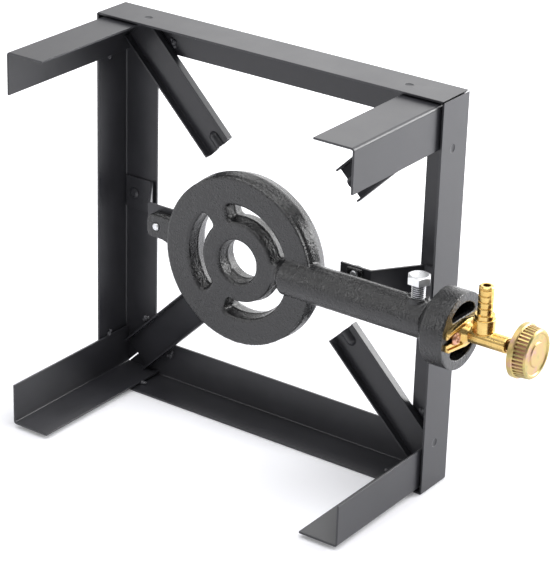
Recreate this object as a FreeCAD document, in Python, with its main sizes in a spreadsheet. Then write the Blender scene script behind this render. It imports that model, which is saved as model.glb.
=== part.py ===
import FreeCAD, Part
import math
import os
import Sketcher

# Outdoor gas burner: a square angle-iron stand on four legs, a cast ring burner hung inside it on two
# bent straps, and a brass needle valve on the mouth of the burner's mixing tube.
# The origin is the middle of the footprint on the ground, +Z is up and the valve points along -Y.
# Places given as "from the centre" are measured from the middle of the burner ring.

Vector = FreeCAD.Vector

driving = [
    # Stand: four mitred angle bars
    ("square", 300.0),
    ("frame_height", 137.5),
    ("bar_drop", 34.5),
    ("bar_ledge", 31.2),
    ("sheet", 1.6),
    ("bend_radius", 2.6),
    ("mitre_gap", 1.0),
    # Legs, nested inside the corners of the bars
    ("leg_flange", 32.3),
    ("leg_gap", 1.5),
    # Pot rests: diagonal channels under the ledge
    ("rest_width", 28.0),
    ("rest_depth", 7.0),
    ("rest_sheet", 1.5),
    ("rest_bend", 1.9),
    ("rest_reach", 81.6),
    ("bead_radius", 4.5),
    ("bead_length", 9.0),
    # Bent straps that carry the burner, riveted under the ledge
    ("strap_width", 26.0),
    ("strap_sheet", 1.8),
    ("strap_drop", 36.5),
    ("strap_overlap", 19.5),
    ("strap_knee_gap", 6.3),
    ("strap_foot_share", 0.4),
    ("rivet_inset", 11.0),
    ("rivet_margin", 8.0),
    ("rivet_radius", 2.5),
    ("rivet_head_radius", 4.2),
    ("rivet_head", 1.8),
    ("rivet_crown_radius", 2.5),
    ("rivet_rim", 1.1),
    # Fits: between mating walls, round loose pieces, and how far a cut runs past its wall
    ("fit", 0.05),
    ("loose_gap", 0.3),
    ("overshoot", 1.0),
    # Cast ring
    ("ring_height", 25.5),
    ("ring_radius", 64.7),
    ("ring_draft", 0.9),
    ("ring_lip", 3.0),
    ("ring_seam", 1.4),
    ("ring_waist", 13.5),
    ("ring_shoulder", 22.5),
    ("ring_taper", 3.0),
    ("ring_bevel", 5.5),
    ("ring_crown", 6.5),
    ("inner_crown", 2.0),
    ("ring_hole", 17.0),
    ("slot_inner", 30.5),
    ("slot_outer", 44.0),
    ("slot_angle", 94.0),
    ("slot_corner", 4.0),
    ("rim_round", 1.4),
    ("ring_wall", 4.0),
    ("ring_side_wall", 6.5),
    ("passage_radius", 4.0),
    ("port_radius", 1.2),
    ("outer_ports", 36),
    ("inner_ports", 16),
    # Mixing tube, lug and ear of the casting
    ("tube_radius", 14.0),
    ("tube_bore", 9.5),
    ("tube_start", 37.0),
    ("tube_nose", 5.0),
    ("tube_overhang", 11.0),
    ("tube_to_strap", 5.3),
    ("tube_to_ring", 4.2),
    ("lug_width", 18.4),
    ("lug_length", 28.5),
    ("lug_depth", 9.0),
    ("lug_corner", 5.0),
    ("lug_flare", 6.0),
    ("lug_screw_inset", 8.2),
    ("ear_side", 12.5),
    ("ear_other_side", 6.5),
    ("ear_depth", 2.8),
    ("ear_length", 13.0),
    ("ear_neck", 4.0),
    ("ear_screw_side", 8.0),
    ("ear_place", 22.3),
    # Screws that hold the casting under the straps
    ("screw_radius", 3.0),
    ("screw_head_radius", 5.5),
    ("screw_head", 3.6),
    ("screw_tail", 1.2),
    ("screw_point_share", 0.7),
    ("head_rim_share", 0.45),
    ("head_crown_share", 0.72),
    # Locking bolt of the mixing head
    ("bolt_inset", 10.0),
    ("bolt_radius", 5.0),
    ("bolt_boss_radius", 8.0),
    ("bolt_boss", 15.5),
    ("bolt_under_head", 25.8),
    ("bolt_head", 6.2),
    ("bolt_across_corners", 17.6),
    # Bell-mouthed mixing head, with two air openings in its front
    ("bell_flare", 9.5),
    ("bell_length", 17.1),
    ("bell_radius", 28.0),
    ("bell_mouth", 20.8),
    ("bell_throat", 7.0),
    ("bell_floor", 5.0),
    ("spigot_length", 22.0),
    ("bridge_width", 21.0),
    ("bridge_depth", 4.5),
    ("mouth_corner", 3.0),
    # Valve body
    ("plate_width", 20.0),
    ("plate_tip_width", 14.0),
    ("plate_length", 47.0),
    ("plate_depth", 2.0),
    ("plate_rim_width", 2.4),
    ("plate_rim", 1.8),
    ("plate_screw", 13.5),
    ("plate_screw_radius", 2.0),
    ("plate_screw_head_radius", 4.4),
    ("plate_screw_head", 2.8),
    ("barrel_radius", 5.9),
    ("barrel_root", 8.6),
    ("barrel_flare", 5.0),
    ("barrel_length", 36.4),
    ("barrel_chamfer", 0.8),
    ("gas_passage", 1.5),
    ("seat_depth", 11.4),
    # Hose nozzle and jet
    ("hose_offset", 16.4),
    ("hose_boss_radius", 7.8),
    ("hose_boss", 15.0),
    ("hose_boss_start", 3.0),
    ("hose_boss_neck", 5.2),
    ("nozzle_spigot_radius", 3.6),
    ("nozzle_spigot", 7.0),
    ("nozzle_bore", 2.7),
    ("collar_radius", 6.85),
    ("collar_length", 3.0),
    ("barb_radius", 5.35),
    ("barb_length", 21.0),
    ("barb_groove", 0.45),
    ("barb_groove_width", 1.0),
    ("barb_pitch", 4.6),
    ("jet_thread", 3.0),
    ("jet_thread_length", 6.0),
    ("jet_radius", 4.2),
    ("jet_length", 9.0),
    ("jet_orifice", 0.6),
    # Spindle, seal and knob
    ("spindle_radius", 3.0),
    ("needle_radius", 2.1),
    ("needle_tip", 0.8),
    ("needle_cone", 3.0),
    ("needle_length", 9.0),
    ("seal_depth", 5.0),
    ("seal_section", 0.5),
    ("seal_room", 0.3),
    ("knob_gap", 3.5),
    ("knob_hub", 5.5),
    ("knob_hub_radius", 6.5),
    ("knob_length", 13.0),
    ("knob_radius", 19.4),
    ("knob_flange", 3.2),
    ("knob_bevel", 1.2),
    ("knob_body_radius", 18.3),
    ("knob_face_radius", 17.6),
    ("knob_wall", 3.4),
    ("knob_web", 3.6),
    ("knob_rim", 2.6),
    ("knob_recess", 0.8),
    ("knob_centre_radius", 8.2),
    ("knob_socket", 3.0),
    ("flutes", 40),
    ("flute_radius", 0.85),
]

doc = FreeCAD.newDocument("outdoor_gas_burner")
sheet = doc.addObject("Spreadsheet::Sheet", "dims")
for row, (alias, size) in enumerate(driving, start=1):
    sheet.set(f"A{row}", alias)
    sheet.set(f"B{row}", str(size))
    sheet.setAlias(f"B{row}", alias)
doc.recompute()

# Places that follow from the driving sizes: heights hang from the stand's top, and everything
# along the tube is counted outwards from the middle of the ring
strap_height = "(dims.frame_height - dims.strap_drop)"
tube_height = f"({strap_height} - dims.tube_to_strap - dims.tube_radius)"
ring_bottom = f"({tube_height} - dims.tube_to_ring)"
lug_end = "(dims.ring_radius + dims.lug_length)"
lug_screw = f"({lug_end} - dims.lug_screw_inset)"
ear_screw = "(dims.ring_radius + dims.ear_place)"
strap_tip = f"({lug_end} - dims.strap_overlap)"
strap_knee = f"({lug_end} + dims.strap_knee_gap)"
rivet_place = "(dims.square / 2 - dims.rivet_inset)"
strap_outer = f"({rivet_place} + dims.rivet_margin)"
strap_shoulder = f"({rivet_place} - ({rivet_place} - {strap_knee}) * dims.strap_foot_share)"
tube_end = "(dims.square / 2 + dims.tube_overhang)"
bolt_place = f"({tube_end} - dims.bolt_inset)"
bell_back = f"({tube_end} + dims.bell_flare)"
bell_front = f"({bell_back} + dims.bell_length)"
barrel_end = f"({bell_front} + dims.barrel_length)"
valve_seat = f"({bell_front} + dims.seat_depth)"
hose_place = f"({bell_front} + dims.hose_offset)"
seal_place = f"({barrel_end} - dims.seal_depth)"
knob_hub_back = f"({barrel_end} + dims.knob_gap)"
knob_back = f"({knob_hub_back} + dims.knob_hub)"
knob_front = f"({knob_back} + dims.knob_length)"
half_square = "dims.square / 2"
frame_y = f"({knob_front} - dims.square / 2) / 2"
ledge_underside = "(dims.frame_height - dims.sheet)"
leg_outer = "(dims.square / 2 - dims.sheet - dims.leg_gap)"
ring_top = f"({ring_bottom} + dims.ring_height)"
plate_front = f"({bell_front} + dims.plate_depth)"
through = "dims.frame_height * 3"
past = "dims.overshoot"


# The number that a formula gives with the sizes as they stand.
def value_of(formula):
    return float(sheet.evalExpression(formula))


def origin_feature(body, role):
    return [item for item in body.Origin.OriginFeatures if item.Role == role][0]


# A body whose own origin is above the burner's centre, turned about the vertical.
def new_body(name, height=None, turn=0.0, forward="0"):
    body = doc.addObject("PartDesign::Body", name)
    body.Label = name
    body.Placement = FreeCAD.Placement(Vector(0, 0, 0), FreeCAD.Rotation(Vector(0, 0, 1), turn))
    body.setExpression("Placement.Base.y", f"{frame_y} - ({forward})")
    if height is not None:
        body.setExpression("Placement.Base.z", height)
    return body


def new_sketch(body, role, offset=None):
    sketch = body.newObject("Sketcher::SketchObject", f"{body.Name}_sketch")
    sketch.AttachmentSupport = [(origin_feature(body, role), "")]
    sketch.MapMode = "FlatFace"
    if offset is not None:
        sketch.setExpression("AttachmentOffset.Base.z", offset)
    return sketch


# Add a dimension whose value comes from a formula.
def drive(sketch, constraint, formula):
    index = sketch.addConstraint(constraint)
    sketch.setExpression(f"Constraints[{index}]", formula)


# Hold a point at its two distances from the sketch's origin.
def pin_point(sketch, line, end, across, up):
    start = sketch.getPoint(line, end)
    if across == "0":
        sketch.addConstraint(Sketcher.Constraint("PointOnObject", line, end, -2))
    else:
        drive(sketch, Sketcher.Constraint("DistanceX", -1, 1, line, end, start.x), across)
    if up == "0":
        sketch.addConstraint(Sketcher.Constraint("PointOnObject", line, end, -1))
    else:
        drive(sketch, Sketcher.Constraint("DistanceY", -1, 1, line, end, start.y), up)


# A closed outline of straight lines through corners given as formulas.
def add_outline(sketch, corners):
    first = sketch.GeometryCount
    count = len(corners)
    step = 2 * math.pi / count
    spots = [Vector(10 * math.cos(i * step), 10 * math.sin(i * step), 0) for i in range(count)]
    for i in range(count):
        sketch.addGeometry(Part.LineSegment(spots[i], spots[(i + 1) % count]), False)
    for i in range(count):
        following = first + (i + 1) % count
        sketch.addConstraint(Sketcher.Constraint("Coincident", first + i, 2, following, 1))
    for i, (across, up) in enumerate(corners):
        pin_point(sketch, first + i, 1, across, up)


def add_box(sketch, left, right, low, high):
    add_outline(sketch, [(left, low), (right, low), (right, high), (left, high)])


def add_circle(sketch, across, up, radius):
    circle = sketch.addGeometry(Part.Circle(Vector(1, 1, 0), Vector(0, 0, 1), 1), False)
    pin_point(sketch, circle, 3, across, up)
    drive(sketch, Sketcher.Constraint("Radius", circle, 1), radius)


def add_feature(body, kind, sketch):
    feature = body.newObject(f"PartDesign::{kind}", f"{body.Name}_{kind.lower()}")
    feature.Profile = sketch
    sketch.Visibility = False
    return feature


def volume_of(body):
    doc.recompute()
    return 0.0 if body.Shape.isNull() else body.Shape.Volume


def check_change(body, before, sign, what):
    change = (volume_of(body) - before) * sign
    if change <= 1e-6:
        raise RuntimeError(f"{body.Label}: {what} changed nothing")


def pad(body, sketch, length, symmetric=False, reverse=False):
    before = volume_of(body)
    feature = add_feature(body, "Pad", sketch)
    feature.setExpression("Length", length)
    feature.SideType = "Symmetric" if symmetric else "One side"
    feature.Reversed = reverse
    check_change(body, before, 1, "pad")
    return feature


def pocket(body, sketch, length, symmetric=False, reverse=False):
    before = volume_of(body)
    feature = add_feature(body, "Pocket", sketch)
    feature.setExpression("Length", length)
    feature.SideType = "Symmetric" if symmetric else "One side"
    feature.Reversed = reverse
    check_change(body, before, -1, "pocket")
    return feature


def revolve(body, sketch, axis):
    before = volume_of(body)
    feature = add_feature(body, "Revolution", sketch)
    feature.ReferenceAxis = (sketch, [axis])
    feature.Angle = 360
    check_change(body, before, 1, "revolution")
    return feature


def groove(body, sketch, axis, angle="360"):
    before = volume_of(body)
    feature = add_feature(body, "Groove", sketch)
    feature.ReferenceAxis = (sketch, [axis])
    feature.setExpression("Angle", angle)
    feature.Midplane = True
    check_change(body, before, -1, "groove")
    return feature


# Copy a cut round one of the body's own axes.
def repeat_round(body, feature, role, count):
    before = volume_of(body)
    pattern = body.newObject("PartDesign::PolarPattern", f"{body.Name}_pattern")
    pattern.Originals = [feature]
    pattern.Axis = (origin_feature(body, role), [""])
    pattern.Angle = 360
    pattern.setExpression("Occurrences", count)
    body.Tip = pattern
    check_change(body, before, -1, "pattern")
    return pattern


# Fillet the edges of the body for which wanted(edge) holds.
def round_edges(body, radius, wanted):
    doc.recompute()
    tip = body.Tip
    names = [f"Edge{i}" for i, edge in enumerate(tip.Shape.Edges, start=1) if wanted(edge)]
    if not names:
        raise RuntimeError(f"{body.Label}: no edge to round")
    fillet = body.newObject("PartDesign::Fillet", f"{body.Name}_fillet")
    fillet.Base = (tip, names)
    fillet.setExpression("Radius", radius)
    doc.recompute()
    return fillet


def middle(edge):
    return edge.valueAt((edge.FirstParameter + edge.LastParameter) / 2)


def runs_along(edge, direction):
    if not isinstance(edge.Curve, Part.Line):
        return False
    return abs(abs(edge.Curve.Direction.dot(direction)) - 1) < 1e-6


def near(a, b):
    return abs(a - b) < 1e-4


# One node that holds several like solids.
def group(name, members):
    compound = doc.addObject("Part::Compound", name)
    compound.Label = name
    compound.Links = members
    return compound


# Angle bar, drawn as the front one: the drop hangs outside and the ledge points inwards
def make_bar(name, turn, riveted):
    body = new_body(name, turn=turn)
    section = new_sketch(body, "YZ_Plane")
    outer = f"-{half_square}"
    ledge_edge = f"{outer} + dims.bar_ledge"
    drop_end = "dims.frame_height - dims.bar_drop"
    add_outline(section, [
        (outer, drop_end),
        (outer, "dims.frame_height"),
        (ledge_edge, "dims.frame_height"),
        (ledge_edge, ledge_underside),
        (f"{outer} + dims.sheet", ledge_underside),
        (f"{outer} + dims.sheet", drop_end),
    ])
    pad(body, section, "dims.square", symmetric=True)
    outside = -sheet.square / 2
    along = Vector(1, 0, 0)
    round_edges(body, "dims.bend_radius", lambda edge: runs_along(edge, along)
                and near(middle(edge).y, outside) and near(middle(edge).z, sheet.frame_height))
    inside = outside + sheet.sheet
    round_edges(body, "dims.bend_radius - dims.sheet", lambda edge: runs_along(edge, along)
                and near(middle(edge).y, inside)
                and near(middle(edge).z, value_of(ledge_underside)))
    mitres = new_sketch(body, "XY_Plane")
    half_gap = "dims.mitre_gap / sqrt(2)"
    for side in ("", "-"):
        add_outline(mitres, [
            (f"{side}({half_square} - {half_gap} + {past})", f"{outer} - {past}"),
            (f"{side}({half_square} + {past})", f"{outer} - {past}"),
            (f"{side}({half_square} + {past})", f"{ledge_edge} + {past}"),
            (f"{side}({half_square} - {half_gap} - dims.bar_ledge - {past})", f"{ledge_edge} + {past}"),
        ])
    pocket(body, mitres, through, symmetric=True)
    if riveted:
        hole = new_sketch(body, "XY_Plane")
        add_circle(hole, "0", f"-{rivet_place}", "dims.rivet_radius + dims.fit")
        pocket(body, hole, through, symmetric=True)
    return body


# Leg: an angle nested in a corner of the bars, drawn in the front left corner
def make_leg(name, turn):
    body = new_body(name, turn=turn)
    section = new_sketch(body, "XY_Plane")
    corner = f"-{leg_outer}"
    tip = f"{corner} + dims.leg_flange"
    inside = f"{corner} + dims.sheet"
    add_outline(section, [
        (corner, corner),
        (tip, corner),
        (tip, inside),
        (inside, inside),
        (inside, tip),
        (corner, tip),
    ])
    pad(body, section, ledge_underside)
    upright = Vector(0, 0, 1)
    outer_place = -value_of(leg_outer)
    for place, radius in ((outer_place, "dims.bend_radius"),
                          (outer_place + sheet.sheet, "dims.bend_radius - dims.sheet")):
        round_edges(body, radius, lambda edge: runs_along(edge, upright)
                    and near(middle(edge).x, place) and near(middle(edge).y, place))
    return body


# Pot rest: a channel, open below, that runs from a corner towards the ring along its own +X
def make_rest(name, turn):
    body = new_body(name, turn=turn)
    section = new_sketch(body, "YZ_Plane", "dims.rest_reach")
    side = "dims.rest_width / 2"
    top = ledge_underside
    low = f"{top} - dims.rest_depth"
    web = f"{top} - dims.rest_sheet"
    add_outline(section, [
        (f"-{side}", low),
        (f"-{side}", top),
        (side, top),
        (side, low),
        (f"{side} - dims.rest_sheet", low),
        (f"{side} - dims.rest_sheet", web),
        (f"-{side} + dims.rest_sheet", web),
        (f"-{side} + dims.rest_sheet", low),
    ])
    outer_end = f"({leg_outer} - dims.sheet) * sqrt(2) - {side} - dims.loose_gap"
    pad(body, section, f"{outer_end} - dims.rest_reach")
    along = Vector(1, 0, 0)
    top_z = value_of(ledge_underside)
    half = sheet.rest_width / 2
    round_edges(body, "dims.rest_bend", lambda edge: runs_along(edge, along)
                and near(abs(middle(edge).y), half) and near(middle(edge).z, top_z))
    # The bead is pressed down into the web at the free end, with a round closed end
    ball_place = "(dims.rest_reach + dims.bead_length)"
    for radius, work in (("dims.bead_radius", pad), ("(dims.bead_radius - dims.rest_sheet)", pocket)):
        trough = new_sketch(body, "YZ_Plane", "dims.rest_reach")
        add_half_disc(trough, top, radius, top_z)
        work(body, trough, "dims.bead_length", reverse=work is pocket)
        ball = new_sketch(body, "XZ_Plane")
        ball.setExpression("AttachmentOffset.Base.x", ball_place)
        add_quarter_disc(ball, top, radius, top_z)
        if work is pad:
            revolve(body, ball, "V_Axis")
        else:
            groove(body, ball, "V_Axis")
    return body


# The lower half of a disc on the V axis: a level line and the arc below it.
def add_half_disc(sketch, up, radius, level):
    reach = sheet.bead_radius
    centre = Vector(0, level, 0)
    left = Vector(-reach, level, 0)
    right = Vector(reach, level, 0)
    circle = Part.Circle(centre, Vector(0, 0, 1), reach)
    arc = sketch.addGeometry(Part.ArcOfCircle(circle, math.pi, 2 * math.pi), False)
    line = sketch.addGeometry(Part.LineSegment(left, right), False)
    sketch.addConstraint(Sketcher.Constraint("Coincident", line, 1, arc, 1))
    sketch.addConstraint(Sketcher.Constraint("Coincident", line, 2, arc, 2))
    sketch.addConstraint(Sketcher.Constraint("PointOnObject", arc, 3, line))
    pin_point(sketch, arc, 1, f"-{radius}", up)
    pin_point(sketch, arc, 2, radius, up)


# A quarter of a disc below a level line, with its upright side on the sketch's own V axis.
def add_quarter_disc(sketch, up, radius, level):
    reach = sheet.bead_radius
    centre = Vector(0, level, 0)
    right = Vector(reach, level, 0)
    below = Vector(0, level - reach, 0)
    circle = Part.Circle(centre, Vector(0, 0, 1), reach)
    arc = sketch.addGeometry(Part.ArcOfCircle(circle, 1.5 * math.pi, 2 * math.pi), False)
    top_line = sketch.addGeometry(Part.LineSegment(right, centre), False)
    side_line = sketch.addGeometry(Part.LineSegment(centre, below), False)
    sketch.addConstraint(Sketcher.Constraint("Coincident", arc, 2, top_line, 1))
    sketch.addConstraint(Sketcher.Constraint("Coincident", top_line, 2, side_line, 1))
    sketch.addConstraint(Sketcher.Constraint("Coincident", side_line, 2, arc, 1))
    sketch.addConstraint(Sketcher.Constraint("Coincident", arc, 3, top_line, 2))
    sketch.addConstraint(Sketcher.Constraint("Horizontal", top_line))
    sketch.addConstraint(Sketcher.Constraint("Vertical", side_line))
    pin_point(sketch, arc, 3, "0", up)
    drive(sketch, Sketcher.Constraint("Radius", arc, 2), radius)


# Strap: bent twice, riveted under the ledge and reaching down to the burner, drawn at the front
def make_strap(name, turn, screw_across, screw_along):
    body = new_body(name, turn=turn)
    profile = new_sketch(body, "YZ_Plane")
    rise = f"({ledge_underside} - dims.strap_sheet - {strap_height})"
    run = f"({strap_shoulder} - {strap_knee})"
    shift = f"dims.strap_sheet * tan(atan({rise} / {run}) / 2)"
    upper = f"{ledge_underside} - dims.strap_sheet"
    floor_top = f"{strap_height} + dims.strap_sheet"
    add_outline(profile, [
        (f"-{strap_tip}", strap_height),
        (f"-{strap_knee}", strap_height),
        (f"-{strap_shoulder}", upper),
        (f"-{strap_outer}", upper),
        (f"-{strap_outer}", ledge_underside),
        (f"-{strap_shoulder} + {shift}", ledge_underside),
        (f"-{strap_knee} + {shift}", floor_top),
        (f"-{strap_tip}", floor_top),
    ])
    pad(body, profile, "dims.strap_width", symmetric=True)
    holes = new_sketch(body, "XY_Plane")
    add_circle(holes, "0", f"-{rivet_place}", "dims.rivet_radius + dims.fit")
    add_circle(holes, screw_across, f"-{screw_along}", "dims.screw_radius + dims.fit")
    pocket(body, holes, through, symmetric=True)
    return body


# Rivet: a low head under the strap and a shank that ends flush with the top of the bar
def make_rivet(name, turn):
    body = new_body(name, turn=turn)
    profile = new_sketch(body, "XZ_Plane", rivet_place)
    seat = f"({ledge_underside} - dims.strap_sheet)"
    add_outline(profile, [
        ("0", f"{seat} - dims.rivet_head"),
        ("dims.rivet_crown_radius", f"{seat} - dims.rivet_head"),
        ("dims.rivet_head_radius", f"{seat} - dims.rivet_head + dims.rivet_rim"),
        ("dims.rivet_head_radius", seat),
        ("dims.rivet_radius", seat),
        ("dims.rivet_radius", "dims.frame_height"),
        ("0", "dims.frame_height"),
    ])
    revolve(body, profile, "V_Axis")
    return body


# Cast burner: the ring with its gas chambers, the mixing tube, the rear lug and the front ear
def make_casting():
    body = new_body("burner_casting")
    section = new_sketch(body, "XZ_Plane")
    bottom = ring_bottom
    edge = "dims.ring_radius - dims.ring_draft"
    valley = f"({ring_top} - dims.ring_crown)"
    inner_top = f"({valley} + dims.inner_crown)"
    seam = f"{edge} - dims.ring_seam"
    seam_low = f"{bottom} + dims.ring_lip"
    add_outline(section, [
        ("dims.ring_hole", bottom),
        (edge, bottom),
        (edge, seam_low),
        (seam, f"{seam_low} + dims.ring_seam / 2"),
        (seam, f"{seam_low} + dims.ring_seam"),
        (edge, f"{seam_low} + dims.ring_seam * 1.5"),
        ("dims.ring_radius", f"{bottom} + dims.ring_waist"),
        ("dims.ring_radius - dims.ring_taper", f"{bottom} + dims.ring_shoulder"),
        ("dims.ring_radius - dims.ring_bevel", ring_top),
        ("dims.slot_outer + dims.ring_crown / 2", ring_top),
        ("dims.slot_outer", valley),
        ("dims.slot_inner", valley),
        ("dims.slot_inner - dims.inner_crown", inner_top),
        ("dims.ring_hole + dims.inner_crown", inner_top),
        ("dims.ring_hole", valley),
    ])
    revolve(body, section, "V_Axis")

    # Three kidney slots let air up between the crowns
    slot = new_sketch(body, "YZ_Plane")
    add_box(slot, "dims.slot_inner", "dims.slot_outer", f"{bottom} - {past}", f"{ring_top} + {past}")
    first_slot = groove(body, slot, "V_Axis", "dims.slot_angle")
    repeat_round(body, first_slot, "Z_Axis", "3")
    upright = Vector(0, 0, 1)

    def slot_corner(edge):
        spot = middle(edge)
        away = math.hypot(spot.x, spot.y)
        at_wall = near(away, sheet.slot_inner) or near(away, sheet.slot_outer)
        return runs_along(edge, upright) and at_wall

    def lower_rim(edge):
        spot = middle(edge)
        away = math.hypot(spot.x, spot.y)
        return near(spot.z, value_of(ring_bottom)) and away < sheet.slot_outer + sheet.overshoot

    round_edges(body, "dims.slot_corner", slot_corner)
    round_edges(body, "dims.rim_round", lower_rim)

    # Gas chambers: a ring-shaped one under each crown, joined by a passage through every spoke
    outer_wall = "dims.ring_radius - dims.ring_side_wall"
    chambers = [
        ("dims.slot_outer + dims.ring_wall", outer_wall, ring_top),
        ("dims.ring_hole + dims.ring_wall", "dims.slot_inner - dims.ring_wall", inner_top),
    ]
    for inside, outside, crown in chambers:
        chamber = new_sketch(body, "XZ_Plane")
        add_box(chamber, inside, outside, f"{bottom} + dims.ring_wall", f"{crown} - dims.ring_wall")
        groove(body, chamber, "V_Axis")
    inner_row = "((dims.ring_hole + dims.slot_inner) / 2)"
    outer_row = "((dims.slot_outer + dims.ring_radius) / 2)"
    passage = new_sketch(body, "XZ_Plane", outer_row)
    add_circle(passage, "0", f"({bottom} + {valley}) / 2", "dims.passage_radius")
    first_passage = pocket(body, passage, f"{outer_row} - {inner_row}")
    repeat_round(body, first_passage, "Z_Axis", "3")
    port_rows = [
        (outer_row, ring_top, "dims.outer_ports"),
        (inner_row, inner_top, "dims.inner_ports"),
    ]
    for row, crown, count in port_rows:
        port = new_sketch(body, "XY_Plane", crown)
        add_circle(port, row, "0", "dims.port_radius")
        first_port = pocket(body, port, f"dims.ring_wall + {past}")
        repeat_round(body, first_port, "Z_Axis", count)

    # Mixing tube with a blunt nose under the front spoke
    tube = new_sketch(body, "YZ_Plane")
    tube.setExpression("AttachmentOffset.Base.y", tube_height)
    add_outline(tube, [
        ("-dims.tube_start", "0"),
        ("-dims.tube_start", "dims.tube_radius - dims.tube_nose"),
        ("-(dims.tube_start + dims.tube_nose)", "dims.tube_radius"),
        (f"-{tube_end}", "dims.tube_radius"),
        (f"-{tube_end}", "0"),
    ])
    revolve(body, tube, "H_Axis")
    bore = new_sketch(body, "XZ_Plane", tube_end)
    add_circle(bore, "0", tube_height, "dims.tube_bore")
    pocket(body, bore, f"{tube_end} - {outer_row}")

    # Rear lug, flared on one side where it joins the ring
    lug = new_sketch(body, "XY_Plane", f"{strap_height} - dims.lug_depth")
    half_lug = "dims.lug_width / 2"
    add_outline(lug, [
        (f"-{half_lug}", outer_wall),
        (f"{half_lug} + dims.lug_flare", outer_wall),
        (half_lug, f"(dims.ring_radius + {lug_end}) / 2"),
        (half_lug, lug_end),
        (f"-{half_lug}", lug_end),
    ])
    pad(body, lug, "dims.lug_depth")
    lug_side = sheet.lug_width / 2
    round_edges(body, "dims.lug_corner", lambda edge: runs_along(edge, upright)
                and near(abs(middle(edge).x), lug_side) and near(middle(edge).y, value_of(lug_end)))

    # Front ear: a thin flange on a neck that stands on the tube
    ear_start = f"-{ear_screw} - dims.ear_length / 2"
    ear_stop = f"-{ear_screw} + dims.ear_length / 2"
    ear = new_sketch(body, "XY_Plane", strap_height)
    add_box(ear, "-dims.ear_side", "dims.ear_other_side", ear_start, ear_stop)
    pad(body, ear, "dims.ear_depth", reverse=True)
    neck = new_sketch(body, "XY_Plane", strap_height)
    add_box(neck, "-dims.ear_neck", "dims.ear_other_side", ear_start, ear_stop)
    pad(body, neck, "dims.tube_to_strap + dims.tube_radius - dims.tube_bore - dims.fit", reverse=True)
    screw_holes = new_sketch(body, "XY_Plane", strap_height)
    add_circle(screw_holes, "0", lug_screw, "dims.screw_radius + dims.fit")
    add_circle(screw_holes, "-dims.ear_screw_side", f"-{ear_screw}", "dims.screw_radius + dims.fit")
    pocket(body, screw_holes, "dims.lug_depth")

    # Boss of the locking bolt
    boss = new_sketch(body, "YZ_Plane", "-dims.bolt_boss")
    add_circle(boss, f"-{bolt_place}", tube_height, "dims.bolt_boss_radius")
    pad(body, boss, "dims.bolt_boss - dims.tube_bore")
    bolt_hole = new_sketch(body, "YZ_Plane", "-dims.bolt_boss")
    add_circle(bolt_hole, f"-{bolt_place}", tube_height, "dims.bolt_radius + dims.fit")
    pocket(body, bolt_hole, "dims.bolt_boss - dims.tube_bore / 2", reverse=True)
    return body


# Mixing head: spigot inside the tube, bell mouth, and a bridge across the mouth that carries the valve
def make_bell():
    body = new_body("mixing_bell", height=tube_height)
    section = new_sketch(body, "YZ_Plane")
    front = f"-{bell_front}"
    floor = f"-({bell_back} + dims.bell_floor)"
    add_outline(section, [
        (front, "dims.bell_mouth"),
        (front, "dims.bell_radius"),
        (f"-{bell_back}", "dims.bell_radius"),
        (f"-{tube_end}", "dims.tube_radius"),
        (f"-{tube_end}", "dims.tube_bore - dims.fit"),
        (f"-({tube_end} - dims.spigot_length)", "dims.tube_bore - dims.fit"),
        (f"-({tube_end} - dims.spigot_length)", "dims.bell_throat"),
        (f"-{bell_back}", "dims.bell_throat"),
        (floor, "dims.bell_mouth"),
    ])
    revolve(body, section, "H_Axis")
    bridge = new_sketch(body, "XZ_Plane", f"{bell_front} - dims.bridge_depth")
    reach = f"(dims.bell_mouth + {past})"
    add_box(bridge, "-dims.bridge_width / 2", "dims.bridge_width / 2", f"-{reach}", reach)
    pad(body, bridge, "dims.bridge_depth")
    forward = Vector(0, 1, 0)
    bridge_side = sheet.bridge_width / 2
    round_edges(body, "dims.mouth_corner", lambda edge: runs_along(edge, forward)
                and near(abs(middle(edge).x), bridge_side))
    holes = new_sketch(body, "XZ_Plane", bell_front)
    add_circle(holes, "0", "0", "dims.jet_radius + dims.loose_gap")
    for side in ("", "-"):
        add_circle(holes, "0", f"{side}dims.plate_screw", "dims.plate_screw_radius + dims.fit")
    pocket(body, holes, "dims.bridge_depth")
    return body


# Locking bolt: a hexagon head with its corners turned off, and a shank that stops at the spigot
def make_bolt():
    body = new_body("locking_bolt", height=tube_height, forward=bolt_place)
    head = new_sketch(body, "YZ_Plane", "-dims.bolt_under_head")
    half = "dims.bolt_across_corners / 2"
    flat = f"{half} * sqrt(3) / 2"
    add_outline(head, [
        (half, "0"),
        (f"{half} / 2", flat),
        (f"-{half} / 2", flat),
        (f"-{half}", "0"),
        (f"-{half} / 2", f"-{flat}"),
        (f"{half} / 2", f"-{flat}"),
    ])
    pad(body, head, "dims.bolt_head", reverse=True)
    trim = new_sketch(body, "XZ_Plane")
    top = "-(dims.bolt_under_head + dims.bolt_head)"
    add_outline(trim, [
        (top, flat),
        (top, f"{half} + {past}"),
        (f"{top} + ({half} + {past} - {flat}) / 2", f"{half} + {past}"),
    ])
    groove(body, trim, "H_Axis")
    shank = new_sketch(body, "YZ_Plane", "-dims.bolt_under_head")
    add_circle(shank, "0", "0", "dims.bolt_radius")
    pad(body, shank, "dims.bolt_under_head - dims.tube_bore - dims.loose_gap")
    return body


# Pan-head screw along its own Z, with the underside of its head at the origin
def make_screw(name, radius, length, head_radius, head):
    body = doc.addObject("PartDesign::Body", name)
    body.Label = name
    profile = new_sketch(body, "XZ_Plane")
    add_outline(profile, [
        ("0", f"-({length})"),
        (f"{radius} * dims.screw_point_share", f"-({length})"),
        (radius, f"-({length}) + {radius} * (1 - dims.screw_point_share)"),
        (radius, "0"),
        (head_radius, "0"),
        (head_radius, f"{head} * dims.head_rim_share"),
        (f"{head_radius} * dims.head_crown_share", head),
        ("0", head),
    ])
    revolve(body, profile, "V_Axis")
    return body


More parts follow.
